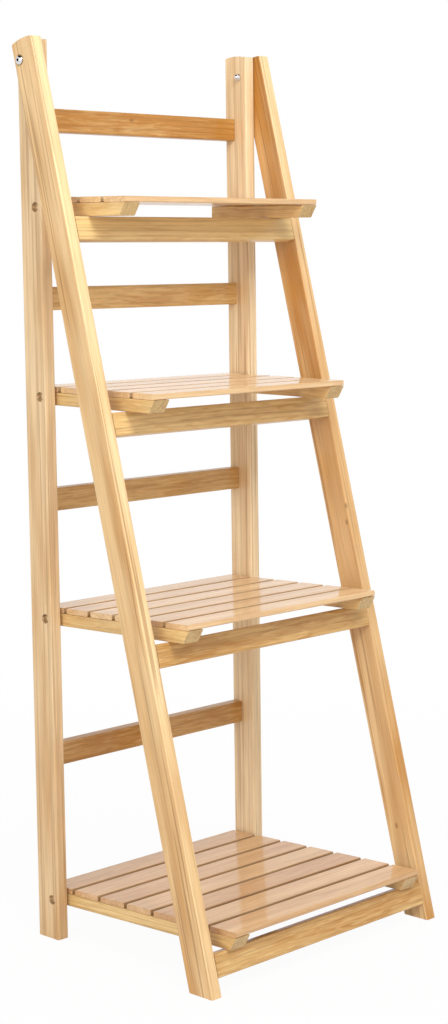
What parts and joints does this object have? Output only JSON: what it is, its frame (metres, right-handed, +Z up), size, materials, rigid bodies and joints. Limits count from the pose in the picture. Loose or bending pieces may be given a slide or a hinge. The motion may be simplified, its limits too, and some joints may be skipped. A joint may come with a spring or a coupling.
{
  "type": "plant ladder stand",
  "caption": "Folding wooden ladder stand: upright rear frame, leaning front ladder on bolts, and slatted plant shelves that deepen towards the floor.",
  "frame": {"origin": "on the floor, in the middle of the open stand's width and depth", "axes": "+Z up, +X across the stand to its right seen from the front, +Y to the back; the ladder and the shelves' front edges are towards -Y"},
  "size_m": [0.3938, 0.3156, 1.06],
  "materials": {
    "pine_frame": "clear gloss varnish",
    "pine_leg": "clear gloss varnish",
    "pine_rail": "clear gloss varnish",
    "pine_slat": "clear gloss varnish",
    "chrome_hardware": "polished",
    "screw_steel": "yellow passivated"
  },
  "bodies": {
    "rear_frame": {"rear_post_left": "pine_frame", "rear_post_right": "pine_frame", "back_rail_1": "pine_rail", "back_rail_2": "pine_rail", "back_rail_3": "pine_rail", "back_rail_4": "pine_rail", "hinge_bolt_left": "chrome_hardware", "hinge_bolt_right": "chrome_hardware", "hinge_nut_left": "chrome_hardware", "hinge_nut_right": "chrome_hardware", "hinge_washer_left": "chrome_hardware", "hinge_washer_right": "chrome_hardware", "pivot_screw_1_left": "screw_steel", "pivot_screw_1_right": "screw_steel", "pivot_screw_2_left": "screw_steel", "pivot_screw_2_right": "screw_steel", "pivot_screw_3_left": "screw_steel", "pivot_screw_3_right": "screw_steel", "pivot_screw_4_left": "screw_steel", "pivot_screw_4_right": "screw_steel"},
    "ladder": {"front_leg_left": "pine_leg", "front_leg_right": "pine_leg", "ladder_rail_1": "pine_rail", "ladder_rail_2": "pine_rail", "ladder_rail_3": "pine_rail", "ladder_rail_4": "pine_rail"},
    "shelf_1": {"shelf_1_rail_left": "pine_rail", "shelf_1_rail_right": "pine_rail", "shelf_1_slat_1": "pine_slat", "shelf_1_slat_2": "pine_slat", "shelf_1_slat_3": "pine_slat", "shelf_1_slat_4": "pine_slat"},
    "shelf_2": {"shelf_2_rail_left": "pine_rail", "shelf_2_rail_right": "pine_rail", "shelf_2_slat_1": "pine_slat", "shelf_2_slat_2": "pine_slat", "shelf_2_slat_3": "pine_slat", "shelf_2_slat_4": "pine_slat", "shelf_2_slat_5": "pine_slat"},
    "shelf_3": {"shelf_3_rail_left": "pine_rail", "shelf_3_rail_right": "pine_rail", "shelf_3_slat_1": "pine_slat", "shelf_3_slat_2": "pine_slat", "shelf_3_slat_3": "pine_slat", "shelf_3_slat_4": "pine_slat", "shelf_3_slat_5": "pine_slat", "shelf_3_slat_6": "pine_slat"},
    "shelf_4": {"shelf_4_rail_left": "pine_rail", "shelf_4_rail_right": "pine_rail", "shelf_4_slat_1": "pine_slat", "shelf_4_slat_2": "pine_slat", "shelf_4_slat_3": "pine_slat", "shelf_4_slat_4": "pine_slat", "shelf_4_slat_5": "pine_slat", "shelf_4_slat_6": "pine_slat", "shelf_4_slat_7": "pine_slat"}
  },
  "joints": [
    {"name": "ladder_fold", "type": "hinge", "parent": "rear_frame", "child": "ladder", "pos_m": [0, 0.13316, 1.034], "axis": [1, 0, 0], "range_deg": [0, 13.3]},
    {"name": "shelf_1_lift", "type": "hinge", "parent": "rear_frame", "child": "shelf_1", "pos_m": [0, 0.13176, 0.8692], "axis": [-1, 0, 0], "range_deg": [0, 89.7]},
    {"name": "shelf_2_lift", "type": "hinge", "parent": "rear_frame", "child": "shelf_2", "pos_m": [0, 0.13176, 0.6509], "axis": [-1, 0, 0], "range_deg": [0, 89.9]},
    {"name": "shelf_3_lift", "type": "hinge", "parent": "rear_frame", "child": "shelf_3", "pos_m": [0, 0.13176, 0.3895], "axis": [-1, 0, 0], "range_deg": [0, 88]},
    {"name": "shelf_4_lift", "type": "hinge", "parent": "rear_frame", "child": "shelf_4", "pos_m": [0, 0.13176, 0.048], "axis": [-1, 0, 0], "range_deg": [0, 87.4]}
  ]
}
